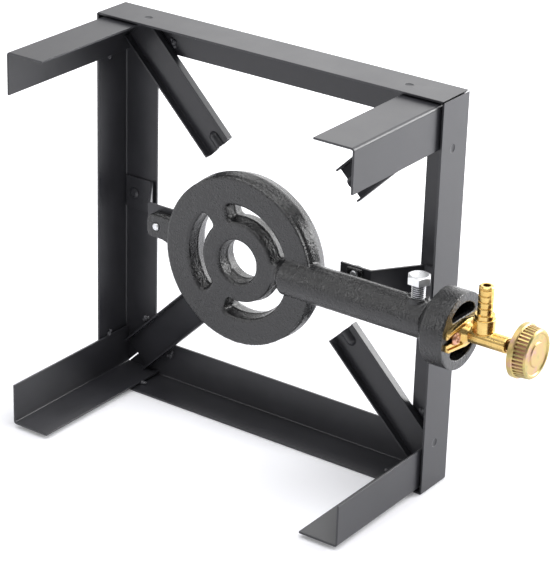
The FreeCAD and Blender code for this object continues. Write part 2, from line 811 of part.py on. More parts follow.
def make_strap_screws():
    screws = []
    places = [
        ("0", lug_screw, "dims.lug_depth"),
        ("-dims.ear_screw_side", f"-{ear_screw}", "dims.ear_depth"),
    ]
    for i, (across, along, depth) in enumerate(places, start=1):
        length = f"dims.strap_sheet + {depth} + dims.screw_tail"
        screw = make_screw(f"strap_screw_{i}", "dims.screw_radius", length,
                           "dims.screw_head_radius", "dims.screw_head")
        screw.setExpression("Placement.Base.x", across)
        screw.setExpression("Placement.Base.y", f"{frame_y} + ({along})")
        screw.setExpression("Placement.Base.z", f"{strap_height} + dims.strap_sheet")
        screws.append(screw)
    return group("strap_screws", screws)


def make_valve_screws():
    length = "dims.plate_depth + dims.bridge_depth - dims.loose_gap"
    screws = []
    for i, side in enumerate(("", "-"), start=1):
        screw = make_screw(f"valve_screw_{i}", "dims.plate_screw_radius", length,
                           "dims.plate_screw_head_radius", "dims.plate_screw_head")
        screw.Placement = FreeCAD.Placement(Vector(0, 0, 0), FreeCAD.Rotation(Vector(1, 0, 0), 90))
        screw.setExpression("Placement.Base.y", f"{frame_y} - {plate_front}")
        screw.setExpression("Placement.Base.z", f"{tube_height} + ({side}dims.plate_screw)")
        screws.append(screw)
    return group("valve_screws", screws)


# Valve body: rimmed mounting plate, barrel towards the knob and a boss for the hose nozzle
def make_valve_body():
    body = new_body("valve_body", height=tube_height)
    plate = new_sketch(body, "XZ_Plane", bell_front)
    side = "dims.plate_width / 2"
    tip = "dims.plate_tip_width / 2"
    end = "dims.plate_length / 2"
    add_outline(plate, [
        (side, "0"), (tip, end), (f"-{tip}", end),
        (f"-{side}", "0"), (f"-{tip}", f"-{end}"), (tip, f"-{end}"),
    ])
    pad(body, plate, "dims.plate_depth")
    rims = new_sketch(body, "XZ_Plane", plate_front)
    inset = "dims.plate_rim_width"
    for sign in ("", "-"):
        add_outline(rims, [
            (f"{sign}{side}", "0"),
            (f"{sign}{tip}", end),
            (f"{sign}({tip} - {inset})", end),
            (f"{sign}({side} - {inset})", "0"),
            (f"{sign}({tip} - {inset})", f"-{end}"),
            (f"{sign}{tip}", f"-{end}"),
        ])
    pad(body, rims, "dims.plate_rim")

    barrel = new_sketch(body, "YZ_Plane")
    add_outline(barrel, [
        (f"-{plate_front}", "0"),
        (f"-{plate_front}", "dims.barrel_root"),
        (f"-({plate_front} + dims.barrel_flare)", "dims.barrel_radius"),
        (f"-({barrel_end} - dims.barrel_chamfer)", "dims.barrel_radius"),
        (f"-{barrel_end}", "dims.barrel_radius - dims.barrel_chamfer"),
        (f"-{barrel_end}", "0"),
    ])
    revolve(body, barrel, "H_Axis")

    boss = new_sketch(body, "XZ_Plane", hose_place)
    full_boss = "(dims.hose_boss_start + dims.hose_boss_radius - dims.hose_boss_neck)"
    add_outline(boss, [
        ("-dims.hose_boss_start", "0"),
        ("-dims.hose_boss_start", "dims.hose_boss_neck"),
        (f"-{full_boss}", "dims.hose_boss_radius"),
        ("-dims.hose_boss", "dims.hose_boss_radius"),
        ("-dims.hose_boss", "0"),
    ])
    revolve(body, boss, "H_Axis")

    stem_bore = new_sketch(body, "XZ_Plane", barrel_end)
    add_circle(stem_bore, "0", "0", "dims.spindle_radius + dims.fit")
    pocket(body, stem_bore, f"{barrel_end} - {valve_seat}")
    passage = new_sketch(body, "XZ_Plane", barrel_end)
    add_circle(passage, "0", "0", "dims.gas_passage")
    pocket(body, passage, f"{barrel_end} - {bell_front}")
    jet_bore = new_sketch(body, "XZ_Plane", bell_front)
    add_circle(jet_bore, "0", "0", "dims.jet_thread + dims.fit")
    pocket(body, jet_bore, "dims.jet_thread_length + dims.loose_gap", reverse=True)
    hose_bore = new_sketch(body, "YZ_Plane", "-dims.hose_boss")
    add_circle(hose_bore, f"-{hose_place}", "0", "dims.nozzle_spigot_radius + dims.fit")
    pocket(body, hose_bore, "dims.nozzle_spigot + dims.loose_gap", reverse=True)
    inlet = new_sketch(body, "YZ_Plane", "-dims.hose_boss")
    add_circle(inlet, f"-{hose_place}", "0", "dims.nozzle_bore")
    pocket(body, inlet, "dims.hose_boss", reverse=True)
    plate_holes = new_sketch(body, "XZ_Plane", bell_front)
    for sign in ("", "-"):
        add_circle(plate_holes, "0", f"{sign}dims.plate_screw", "dims.plate_screw_radius + dims.fit")
    pocket(body, plate_holes, "dims.plate_depth", reverse=True)
    notches = new_sketch(body, "XZ_Plane", bell_front)
    for sign in ("", "-"):
        add_box(notches, "-dims.plate_screw_radius", "dims.plate_screw_radius",
                f"{sign}(dims.plate_screw + dims.plate_screw_radius / 2)", f"{sign}({end} + {past})")
    pocket(body, notches, "dims.plate_depth", reverse=True)
    return body


# Hose nozzle: spigot in the valve's boss, collar, and a barbed tail with shallow grooves
def make_hose_nozzle():
    body = new_body("hose_nozzle", height=tube_height, forward=hose_place)
    profile = new_sketch(body, "XZ_Plane")
    seat = "dims.hose_boss"
    tail = f"({seat} + dims.collar_length)"
    tip = f"({tail} + dims.barb_length)"
    spigot_end = f"({seat} - dims.nozzle_spigot)"
    corners = [
        (f"-{spigot_end}", "dims.nozzle_bore"),
        (f"-{spigot_end}", "dims.nozzle_spigot_radius"),
        (f"-{seat}", "dims.nozzle_spigot_radius"),
        (f"-{seat}", "dims.collar_radius"),
        (f"-{tail}", "dims.collar_radius"),
        (f"-{tail}", "dims.barb_radius"),
    ]
    valley = "dims.barb_radius - dims.barb_groove"
    groove_count = int(sheet.barb_length / sheet.barb_pitch - 0.5)
    for i in range(1, groove_count + 1):
        place = f"({tail} + {i} * dims.barb_pitch)"
        corners += [
            (f"-{place}", "dims.barb_radius"),
            (f"-{place}", valley),
            (f"-({place} + dims.barb_groove_width / 2)", valley),
            (f"-({place} + dims.barb_groove_width)", "dims.barb_radius"),
        ]
    corners += [
        (f"-({tip} - dims.barb_groove_width)", "dims.barb_radius"),
        (f"-{tip}", "dims.barb_radius - dims.barb_groove_width"),
        (f"-{tip}", "dims.nozzle_bore"),
    ]
    add_outline(profile, corners)
    revolve(body, profile, "H_Axis")
    return body


# Jet: threaded into the back of the valve, blowing through the bridge into the throat
def make_jet():
    body = new_body("gas_jet", height=tube_height)
    profile = new_sketch(body, "YZ_Plane")
    back = f"({bell_front} - dims.jet_length)"
    add_outline(profile, [
        (f"-({bell_front} + dims.jet_thread_length)", "dims.jet_orifice"),
        (f"-({bell_front} + dims.jet_thread_length)", "dims.jet_thread"),
        (f"-{bell_front}", "dims.jet_thread"),
        (f"-{bell_front}", "dims.jet_radius"),
        (f"-({back} + dims.jet_radius / 2)", "dims.jet_radius"),
        (f"-{back}", "dims.jet_radius / 2"),
        (f"-{back}", "dims.jet_orifice"),
    ])
    revolve(body, profile, "H_Axis")
    return body


# Spindle: needle point, guide, seal groove and the tail that the knob sits on
def make_spindle():
    body = new_body("valve_spindle", height=tube_height)
    profile = new_sketch(body, "YZ_Plane")
    point = f"({valve_seat} - dims.needle_cone / 2)"
    shoulder = f"({point} + dims.needle_cone + dims.needle_length)"
    neck = "(dims.spindle_radius - 2 * dims.seal_section - dims.fit)"
    half_groove = "(dims.seal_section + dims.seal_room)"
    tail = f"({knob_front} - dims.knob_socket - dims.fit)"
    add_outline(profile, [
        (f"-{point}", "0"),
        (f"-{point}", "dims.needle_tip"),
        (f"-({point} + dims.needle_cone)", "dims.needle_radius"),
        (f"-{shoulder}", "dims.needle_radius"),
        (f"-({shoulder} + dims.spindle_radius - dims.needle_radius)", "dims.spindle_radius"),
        (f"-({seal_place} - {half_groove})", "dims.spindle_radius"),
        (f"-({seal_place} - {half_groove})", neck),
        (f"-({seal_place} + {half_groove})", neck),
        (f"-({seal_place} + {half_groove})", "dims.spindle_radius"),
        (f"-{tail}", "dims.spindle_radius"),
        (f"-{tail}", "0"),
    ])
    revolve(body, profile, "H_Axis")
    return body


# Seal: a round-section ring in the spindle's groove
def make_seal():
    ring = doc.addObject("Part::Torus", "spindle_seal")
    ring.Label = "spindle_seal"
    ring.setExpression("Radius1", "dims.spindle_radius - dims.seal_section")
    ring.setExpression("Radius2", "dims.seal_section")
    ring.Placement = FreeCAD.Placement(Vector(0, 0, 0), FreeCAD.Rotation(Vector(1, 0, 0), 90))
    ring.setExpression("Placement.Base.y", f"{frame_y} - {seal_place}")
    ring.setExpression("Placement.Base.z", tube_height)
    return ring


# Knob: dished behind round its hub, flanged at the back, fluted on the side, rimmed on the face
def make_knob():
    body = new_body("control_knob", height=tube_height)
    profile = new_sketch(body, "YZ_Plane")
    bore = "dims.spindle_radius + dims.fit"
    face = knob_front
    web = f"({face} - dims.knob_web)"
    floor = f"({face} - dims.knob_recess)"
    rim_inner = "(dims.knob_face_radius - dims.knob_rim)"
    flange_front = f"({knob_back} + dims.knob_flange)"
    bevel = f"({face} - dims.knob_bevel)"
    socket = f"({face} - dims.knob_socket)"
    add_outline(profile, [
        (f"-{knob_hub_back}", bore),
        (f"-{knob_hub_back}", "dims.knob_hub_radius"),
        (f"-{web}", "dims.knob_hub_radius"),
        (f"-{web}", "dims.knob_body_radius - dims.knob_wall"),
        (f"-{knob_back}", "dims.knob_body_radius - dims.knob_wall"),
        (f"-{knob_back}", "dims.knob_radius"),
        (f"-{flange_front}", "dims.knob_radius"),
        (f"-({flange_front} + dims.knob_recess)", "dims.knob_body_radius"),
        (f"-{bevel}", "dims.knob_face_radius"),
        (f"-{face}", "dims.knob_face_radius - dims.knob_bevel"),
        (f"-{face}", rim_inner),
        (f"-{floor}", f"{rim_inner} - dims.knob_recess"),
        (f"-{floor}", "dims.knob_centre_radius + dims.knob_recess"),
        (f"-{face}", "dims.knob_centre_radius"),
        (f"-{face}", "0"),
        (f"-{socket}", "0"),
        (f"-{socket}", bore),
    ])
    revolve(body, profile, "H_Axis")
    flute = new_sketch(body, "XZ_Plane", bevel)
    flute_centre = "(dims.knob_body_radius + dims.knob_face_radius) / 2"
    add_circle(flute, "0", flute_centre, "dims.flute_radius")
    first_flute = pocket(body, flute, f"{bevel} - {flange_front} - dims.knob_recess")
    repeat_round(body, first_flute, "Y_Axis", "dims.flutes")
    return body


nodes = []
for name, turn, riveted in (("front_bar", 0, True), ("right_bar", 90, False),
                            ("rear_bar", 180, True), ("left_bar", 270, False)):
    nodes.append(make_bar(name, turn, riveted))
for name, turn in (("front_left_leg", 0), ("front_right_leg", 90),
                   ("rear_right_leg", 180), ("rear_left_leg", 270)):
    nodes.append(make_leg(name, turn))
for name, turn in (("rear_right_pot_rest", 45), ("rear_left_pot_rest", 135),
                   ("front_left_pot_rest", 225), ("front_right_pot_rest", 315)):
    nodes.append(make_rest(name, turn))
nodes.append(make_strap("front_strap", 0, "-dims.ear_screw_side", ear_screw))
nodes.append(make_strap("rear_strap", 180, "0", lug_screw))
nodes.append(group("strap_rivets", [make_rivet("front_rivet", 0), make_rivet("rear_rivet", 180)]))
nodes.append(make_casting())
nodes.append(make_strap_screws())
nodes.append(make_bell())
nodes.append(make_bolt())
nodes.append(make_valve_body())
nodes.append(make_valve_screws())
nodes.append(make_hose_nozzle())
nodes.append(make_jet())
nodes.append(make_spindle())
nodes.append(make_seal())
nodes.append(make_knob())
doc.recompute()

faulty = [item.Label for item in doc.Objects if "Invalid" in item.State or "Error" in item.State]
if faulty:
    raise RuntimeError(f"failed objects: {faulty}")
for node in nodes:
    if node.Shape.isNull() or not node.Shape.isValid():
        raise RuntimeError(f"bad shape: {node.Label}")

os.makedirs("parts", exist_ok=True)
for node in nodes:
    node.Shape.exportStep(f"parts/{node.Label}.step")
    box = node.Shape.BoundBox
    print(f"{node.Label}: {len(node.Shape.Solids)} solids, {node.Shape.Volume:.0f} mm3, "
          f"y {box.YMin:.2f} to {box.YMax:.2f}, z {box.ZMin:.2f} to {box.ZMax:.2f}")
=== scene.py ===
import math
import bpy
from mathutils import Matrix, Vector


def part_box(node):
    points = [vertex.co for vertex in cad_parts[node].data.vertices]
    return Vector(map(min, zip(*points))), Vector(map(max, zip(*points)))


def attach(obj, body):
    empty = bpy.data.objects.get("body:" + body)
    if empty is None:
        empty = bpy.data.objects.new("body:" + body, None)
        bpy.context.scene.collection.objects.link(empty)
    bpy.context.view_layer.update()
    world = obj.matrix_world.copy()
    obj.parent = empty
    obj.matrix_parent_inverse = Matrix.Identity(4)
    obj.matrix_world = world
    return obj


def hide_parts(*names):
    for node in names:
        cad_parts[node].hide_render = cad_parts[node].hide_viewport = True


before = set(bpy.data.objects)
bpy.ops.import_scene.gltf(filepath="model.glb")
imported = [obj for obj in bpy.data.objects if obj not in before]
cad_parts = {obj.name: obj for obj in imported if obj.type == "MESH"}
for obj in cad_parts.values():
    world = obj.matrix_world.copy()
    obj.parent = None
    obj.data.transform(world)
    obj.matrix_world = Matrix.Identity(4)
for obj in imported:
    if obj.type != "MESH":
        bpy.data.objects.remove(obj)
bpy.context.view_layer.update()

mm = 0.001


def boxOf(nodeName):
    low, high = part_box(nodeName)
    return Vector(low), Vector(high)


def middleOf(nodeName):
    low, high = boxOf(nodeName)
    return (low + high) / 2


frontEdge = boxOf("front_bar")[0].y
rearEdge = boxOf("rear_bar")[1].y
halfSquare = (rearEdge - frontEdge) / 2
ringCentre = Vector((0, (frontEdge + rearEdge) / 2, 0))    # middle of the burner ring, seen from above
tubeHeight = middleOf("hose_nozzle").z                     # height of the mixing tube's axis
print("frame loaded,", len(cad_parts), "nodes")


# Small helpers

meshLook = {
    "mergeDistance": 1e-6,
    "flatAngle": 0.5,        # degrees: faces that meet flatter than this become one
    "edgeSteps": 2,          # faces across a broken edge
    "flatWeight": 80,        # keeps flats flat in the shading
}


def deselectAll():
    bpy.ops.object.select_all(action="DESELECT")


def makeActive(piece):
    deselectAll()
    piece.select_set(True)
    bpy.context.view_layer.objects.active = piece


def startEditing(piece):
    makeActive(piece)
    bpy.ops.object.mode_set(mode="EDIT")
    bpy.ops.mesh.select_all(action="SELECT")


def stopEditing():
    bpy.ops.object.mode_set(mode="OBJECT")


def useModifier(piece, kind, **settings):
    modifier = piece.modifiers.new(kind.lower(), kind)
    for key, value in settings.items():
        setattr(modifier, key, value)
    makeActive(piece)
    bpy.ops.object.modifier_apply(modifier=modifier.name)


# A CAD node's triangles are loose, so its copy is merged
def copyNode(nodeName, pieceName):
    piece = bpy.data.objects.new(pieceName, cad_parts[nodeName].data.copy())
    bpy.context.scene.collection.objects.link(piece)
    startEditing(piece)
    bpy.ops.mesh.remove_doubles(threshold=meshLook["mergeDistance"])
    stopEditing()
    return piece


def joinPieces(first, others):
    makeActive(first)
    for other in others:
        other.select_set(True)
    bpy.ops.object.join()
    return first


def applyPlace(piece):
    makeActive(piece)
    bpy.ops.object.transform_apply(location=True, rotation=True, scale=True)


def setPlace(piece, scale, turn, place):
    piece.scale = scale
    piece.rotation_mode = "QUATERNION"
    piece.rotation_quaternion = turn
    piece.location = place
    applyPlace(piece)


def mergeFlats(piece):
    startEditing(piece)
    bpy.ops.mesh.dissolve_limited(angle_limit=math.radians(meshLook["flatAngle"]))
    stopEditing()


def bevelEdges(piece, width, sharpAngle):
    useModifier(piece, "BEVEL", width=width, segments=meshLook["edgeSteps"], limit_method="ANGLE",
                angle_limit=math.radians(sharpAngle))


def cutWith(piece, cutters, operation="DIFFERENCE"):
    for cutter in cutters:
        useModifier(piece, "BOOLEAN", operation=operation, solver="EXACT", object=cutter)
        bpy.data.objects.remove(cutter)


def smoothShade(piece, degrees=180):
    makeActive(piece)
    bpy.ops.object.shade_smooth_by_angle(angle=math.radians(degrees))


def evenShade(piece, degrees):
    smoothShade(piece, degrees)
    useModifier(piece, "WEIGHTED_NORMAL", keep_sharp=True, weight=meshLook["flatWeight"])


def setMaterial(piece, material):
    piece.data.materials.clear()
    piece.data.materials.append(material)


def handOver(piece, material, body="burner", nodes=()):
    setMaterial(piece, material)
    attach(piece, body)
    if nodes:
        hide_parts(*nodes)


# Materials: noise patterns on Object coordinates drive colour, roughness and bumps

noiseSpan = (0.3, 0.7)    # nearly all of a noise pattern lies between these values


def addNode(owner, kind, operation=None, **inputs):
    node = owner.node_tree.nodes.new("ShaderNode" + kind)
    node.location.x = -250 * len(owner.node_tree.nodes)    # side by side in the editor
    if operation:
        node.operation = operation
    for key, value in inputs.items():
        node.inputs[key.replace("_", " ")].default_value = value
    return node


def wire(owner, source, output, target, socket):
    owner.node_tree.links.new(source.outputs[output], target.inputs[socket])


def addNoise(material, coords, scale, detail, roughness):
    noise = addNode(material, "TexNoise", Scale=scale, Detail=detail, Roughness=roughness)
    wire(material, coords, "Object", noise, "Vector")
    return noise


def addRamp(material, source, stops):
    ramp = addNode(material, "ValToRGB")
    elements = ramp.color_ramp.elements
    elements[0].position = stops[0][0]
    elements[0].color = (*stops[0][1], 1)
    elements[1].position = stops[-1][0]
    elements[1].color = (*stops[-1][1], 1)
    for position, colour in stops[1:-1]:
        elements.new(position).color = (*colour, 1)
    wire(material, source, "Fac", ramp, "Fac")
    return ramp


def addRange(owner, source, output, start, stop, low=0, high=1):
    spread = addNode(owner, "MapRange", From_Min=start, From_Max=stop, To_Min=low, To_Max=high)
    wire(owner, source, output, spread, "Value")
    return spread


def addBumps(material, shader, noises, bumps):
    previous = None
    for noiseName, strength, depth in bumps:
        bump = addNode(material, "Bump", Strength=strength, Distance=depth)
        wire(material, noises[noiseName], "Fac", bump, "Height")
        if previous:
            wire(material, previous, "Normal", bump, "Normal")
        previous = bump
    wire(material, previous, "Normal", shader, "Normal")


# Painted groove shade: a dark colour shows near an axis; the plain colour beyond a radius, or short of a place
# along the axis
def addPaintedGrooveShade(material, coords, colour, grooves):
    along = grooves["along"]
    centred = addNode(material, "Mapping")
    centred.inputs["Location"].default_value = [0 if axis == along else -place
                                                for axis, place in zip("XYZ", grooves["centre"])]
    centred.inputs["Scale"].default_value = [0 if axis == along else 1 for axis in "XYZ"]
    wire(material, coords, "Object", centred, "Vector")
    away = addNode(material, "VectorMath", "LENGTH")
    wire(material, centred, "Vector", away, 0)
    crest = addRange(material, away, "Value", grooves["bottom"], grooves["crest"])
    split = addNode(material, "SeparateXYZ")
    wire(material, coords, "Object", split, "Vector")
    plain = addNode(material, "Math", "LESS_THAN")
    plain.inputs[1].default_value = grooves["plainBelow"]
    wire(material, split, along, plain, 0)
    bright = addNode(material, "Math", "MAXIMUM")
    wire(material, crest, "Result", bright, 0)
    wire(material, plain, "Value", bright, 1)
    mix = addNode(material, "MixRGB")
    mix.inputs[1].default_value = (*grooves["colour"], 1)
    wire(material, bright, "Value", mix, 0)
    wire(material, colour, "Color", mix, 2)
    return mix


def newMaterial(name, metallic=0.0, shine=0.5):
    material = bpy.data.materials.new(name)
    material.use_nodes = True
    shader = material.node_tree.nodes["Principled BSDF"]
    shader.inputs["Metallic"].default_value = metallic
    shader.inputs["Specular IOR Level"].default_value = shine
    return material, shader


def makeFinish(name, look):
    material, shader = newMaterial(name, look.get("metallic", 0.0), look.get("shine", 0.5))
    coords = addNode(material, "TexCoord")
    noises = {key: addNoise(material, coords, *values) for key, values in look["noises"].items()}
    noiseName, stops = look["colour"]
    colour = addRamp(material, noises[noiseName], stops)
    if "grooves" in look:
        colour = addPaintedGrooveShade(material, coords, colour, look["grooves"])
    wire(material, colour, "Color", shader, "Base Color")
    noiseName, smoothest, roughest = look["roughness"]
    rough = addRange(material, noises[noiseName], "Fac", *noiseSpan, smoothest, roughest)
    wire(material, rough, "Result", shader, "Roughness")
    addBumps(material, shader, noises, look["bumps"])
    return material


# A noise is (scale per metre, detail, roughness), a colour stop (noise value, colour),
# roughness (noise, smoothest, roughest) and a bump (noise, strength, depth)
paintLook = {
    "noises": {"patches": (30, 5, 0.6), "peel": (1500, 2, 0.5)},
    "colour": ("patches", [(0.35, (0.026, 0.026, 0.030)), (0.70, (0.035, 0.035, 0.040))]),
    "roughness": ("patches", 0.30, 0.38),
    "bumps": [("peel", 0.08, 0.2 * mm)],
}
castLook = {
    "shine": 0.72,
    "noises": {"sand": (700, 2, 0.45), "grain": (1400, 1, 0.5), "blotches": (60, 5, 0.6)},
    "colour": ("sand", [(0.30, (0.003, 0.003, 0.004)), (0.55, (0.008, 0.008, 0.009)),
                        (0.75, (0.020, 0.020, 0.022))]),
    "roughness": ("blotches", 0.22, 0.32),
    "bumps": [("sand", 1.0, 0.46 * mm), ("grain", 0.5, 0.15 * mm)],
}
metalLook = {
    "metallic": 1.0,
    "noises": {"tint": (200, 3, 0.55), "scratch": (900, 4, 0.65)},
    "bumps": [("scratch", 0.03, 0.1 * mm)],
}
zincLook = {
    **metalLook,
    "metallic": 0.85,
    "colour": ("tint", [(0.3, (0.66, 0.67, 0.69)), (0.7, (0.86, 0.87, 0.88))]),
    "roughness": ("scratch", 0.26, 0.38),
}
brassLook = {
    **metalLook,
    "noises": {**metalLook["noises"], "tint": (60, 3, 0.55)},
    "colour": ("tint", [(0.3, (0.60, 0.39, 0.12)), (0.7, (0.77, 0.55, 0.21))]),
    "roughness": ("scratch", 0.20, 0.30),
}
copperLook = {
    **metalLook,
    "colour": ("tint", [(0.3, (0.56, 0.28, 0.19)), (0.7, (0.74, 0.44, 0.32))]),
    "roughness": ("scratch", 0.28, 0.40),
}
# Brass coloured dark brown: painted shade for the spindle, which sits in the shade between the valve body and
# the knob
paintedShadeSpindleLook = {
    **metalLook,
    "colour": ("tint", [(0.3, (0.07, 0.045, 0.02)), (0.7, (0.14, 0.09, 0.04))]),
    "roughness": ("scratch", 0.40, 0.55),
}
rubberLook = {
    "noises": {"dust": (800, 3, 0.5)},
    "colour": ("dust", [(0.35, (0.012, 0.012, 0.012)), (0.70, (0.025, 0.025, 0.025))]),
    "roughness": ("dust", 0.60, 0.75),
    "bumps": [("dust", 0.1, 0.2 * mm)],
}
paint = makeFinish("satinPowderCoat", paintLook)
castIron = makeFinish("sandCastIron", castLook)
zinc = makeFinish("brightZinc", zincLook)
brass = makeFinish("turnedBrass", brassLook)
copper = makeFinish("copperPlate", copperLook)
paintedShadeBrass = makeFinish("paintedShadeBrass", paintedShadeSpindleLook)
rubber = makeFinish("sealRubber", rubberLook)
print("materials ready")


# Stand: bars with spot-weld dimples, legs, pot rests and straps with softened sheet edges

sheetShape = {"edge": 0.25 * mm, "sharpAngle": 40, "shadeAngle": 50}
weldMark = {
    "radius": 3.3 * mm,
    "depth": 0.7 * mm,
    "along": 112.8 * mm,      # from the middle of a bar
    "height": 117 * mm,
    "segments": 24,
    "rings": 14,
}


def dimpleCutter(place, normal):
    deselectAll()
    bpy.ops.mesh.primitive_uv_sphere_add(segments=weldMark["segments"], ring_count=weldMark["rings"],
                                         radius=weldMark["radius"])
    cutter = bpy.context.object
    setPlace(cutter, (1, 1, weldMark["depth"] / weldMark["radius"]), normal.to_track_quat("Z", "Y"), place)
    return cutter


def pressSheet(nodeName, cutters=()):
    piece = copyNode(nodeName, nodeName + "_pressed")
    mergeFlats(piece)
    bevelEdges(piece, sheetShape["edge"], sheetShape["sharpAngle"])
    cutWith(piece, cutters)
    evenShade(piece, sheetShape["shadeAngle"])
    handOver(piece, paint, nodes=[nodeName])


barTurns = {"front_bar": 0, "right_bar": 90, "rear_bar": 180, "left_bar": 270}
for nodeName, turn in barTurns.items():
    spin = Matrix.Rotation(math.radians(turn), 4, "Z")
    spots = [spin @ Vector((side * weldMark["along"], -halfSquare, weldMark["height"])) + ringCentre
             for side in (-1, 1)]
    pressSheet(nodeName, [dimpleCutter(spot, spin @ Vector((0, -1, 0))) for spot in spots])
plainSheets = ["front_left_leg", "front_right_leg", "rear_right_leg", "rear_left_leg",
               "rear_right_pot_rest", "rear_left_pot_rest", "front_left_pot_rest", "front_right_pot_rest",
               "front_strap", "rear_strap"]
for nodeName in plainSheets:
    pressSheet(nodeName)
setMaterial(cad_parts["strap_rivets"], paint)

# Weld beads, painted over: one across each leg edge inside the bars, and one each side of every pot rest
weldBead = {
    "radius": 2.3 * mm,
    "stretch": (1.15, 0.9, 0.75),    # along, across and out of the sheet
    "rough": 0.4 * mm,
    "outwards": 0.6,                 # share of the roughness that follows the surface's normal
    "softening": 0.5,
    "softenRounds": 2,
    "step": 2.6 * mm,                # from one blob of a bead to the next
    "sizes": (0.85, 1.1, 0.7),
    "sway": 0.35,                    # to either side, as a share of a step
    "swayByBead": 2.1,
    "swayByBlob": 1.7,
    "legEdge": (115.5 * mm, 147.2 * mm, 114 * mm),         # along a bar, out from the middle, height
    "besideRest": (127.8 * mm, 104.0 * mm, 135.6 * mm),
    "diagonal": 0.7,                 # both parts of the direction of a bead beside a pot rest
}
# The beads wear the stand's powder coat, coloured two to three times lighter than the bars: a painted highlight
# on their rounded tops
beadPaintedHighlightLook = {
    **paintLook,
    "noises": {**paintLook["noises"], "patches": (400, 5, 0.6)},
    "colour": ("patches", [(0.35, (0.05, 0.05, 0.055)), (0.70, (0.11, 0.11, 0.12))]),
    "roughness": ("patches", 0.14, 0.24),
}


def weldBlob(place, normal, size, seed):
    deselectAll()
    bpy.ops.mesh.primitive_ico_sphere_add(subdivisions=3, radius=weldBead["radius"] * size)
    blob = bpy.context.object
    startEditing(blob)
    bpy.ops.transform.vertex_random(offset=weldBead["rough"], uniform=1, normal=weldBead["outwards"], seed=seed)
    bpy.ops.mesh.vertices_smooth(factor=weldBead["softening"], repeat=weldBead["softenRounds"])
    stopEditing()
    setPlace(blob, weldBead["stretch"], normal.to_track_quat("Z", "Y"), place)
    return blob


def weldRow(place, normal, along, seed):
    across = normal.cross(along)
    row = []
    for i, size in enumerate(weldBead["sizes"]):
        sway = weldBead["sway"] * math.sin(weldBead["swayByBead"] * seed + weldBead["swayByBlob"] * i)
        spot = place + weldBead["step"] * ((i - 1) * along + sway * across)
        row.append(weldBlob(spot, normal, size, len(weldBead["sizes"]) * seed + i))
    return row


beads = []
for sideX in (-1, 1):
    for sideY in (-1, 1):
        along, out, height = weldBead["legEdge"]
        beads.append(((sideX * along, sideY * out, height), (0, -sideY, 0), (sideX, 0, 0)))
        beads.append(((sideX * out, sideY * along, height), (-sideX, 0, 0), (0, sideY, 0)))
        along, out, height = weldBead["besideRest"]
        slant = (sideX * weldBead["diagonal"], sideY * weldBead["diagonal"], 0)
        beads.append(((sideX * along, sideY * out, height), (0, 0, -1), slant))
        beads.append(((sideX * out, sideY * along, height), (0, 0, -1), slant))
blobs = []
for seed, (place, normal, along) in enumerate(beads, start=1):
    blobs += weldRow(Vector(place) + ringCentre, Vector(normal), Vector(along), seed)
welds = joinPieces(blobs[0], blobs[1:])
welds.name = "weld_beads"
smoothShade(welds)
handOver(welds, makeFinish("weldPowderCoatPaintedHighlight", beadPaintedHighlightLook))
print("stand done,", len(beads), "weld beads")


# Castings: soft edges from a fine remesh, then an uneven sand-cast skin

castShape = {
    "voxel": 0.86 * mm,
    "bellVoxel": 0.55 * mm,
    "smoothing": 0.5,
    "rounds": 2,
    "bellRounds": 3,
    "skinSize": 3 * mm,
    "skinHeight": 0.22 * mm,
    "skinDetail": 2,
    "shadeAngle": 60,
    "partingHeight": 87.5 * mm,      # where the two halves of the mould met
    "partingRidge": 1.8 * mm,
    "partingReach": 11 * mm,
    "flash": 0.5 * mm,               # thin line of metal left along the joint
    "flashReach": 1.1 * mm,
    "openRadius": 45 * mm,           # slots and centre hole lie inside this
    "lipHeight": 80.3 * mm,          # groove round the outside, above the lip
    "lipReach": 2.2 * mm,
    "lipDepth": 0.9 * mm,
    "steepBelow": 0.5,               # a wall's normal rises less than this
    "seamPlace": (14 * mm, -62 * mm),
    "seamSize": (1.4 * mm, 92 * mm, 1.3 * mm),
    "chambers": [(48 * mm, 58.2 * mm, 81.5 * mm, 99 * mm), (21 * mm, 26.5 * mm, 81.5 * mm, 94.5 * mm)],
    "bore": (9.5 * mm, -36 * mm, -136 * mm),
    "fill": 0.4 * mm,                # how far the plugs reach into the walls
    "plugSteps": 96,
    "boreSides": 48,
}


def ringPlug(inner, outer, low, high):
    deselectAll()
    bpy.ops.mesh.primitive_plane_add(size=1, location=((inner + outer) / 2, 0, (low + high) / 2),
                                     rotation=(math.pi / 2, 0, 0))
    plug = bpy.context.object
    plug.scale = (outer - inner, high - low, 1)
    applyPlace(plug)
    startEditing(plug)
    bpy.ops.mesh.delete(type="ONLY_FACE")
    bpy.ops.mesh.select_all(action="SELECT")
    bpy.ops.mesh.spin(steps=castShape["plugSteps"], angle=2 * math.pi, center=(0, 0, 0), axis=(0, 0, 1))
    bpy.ops.mesh.select_all(action="SELECT")
    bpy.ops.mesh.remove_doubles(threshold=meshLook["mergeDistance"])
    bpy.ops.mesh.normals_make_consistent(inside=False)
    stopEditing()
    plug.location = ringCentre
    applyPlace(plug)
    return plug


def tubePlug(radius, start, stop):
    deselectAll()
    bpy.ops.mesh.primitive_cylinder_add(vertices=castShape["boreSides"], radius=radius, depth=start - stop,
                                        location=(0, ringCentre.y + (start + stop) / 2, tubeHeight),
                                        rotation=(math.pi / 2, 0, 0))
    plug = bpy.context.object
    applyPlace(plug)
    return plug


def partingSeam(side):
    out, along = castShape["seamPlace"]
    deselectAll()
    bpy.ops.mesh.primitive_cube_add(size=1, location=(side * out, along, tubeHeight))
    seam = bpy.context.object
    seam.scale = castShape["seamSize"]
    applyPlace(seam)
    return seam


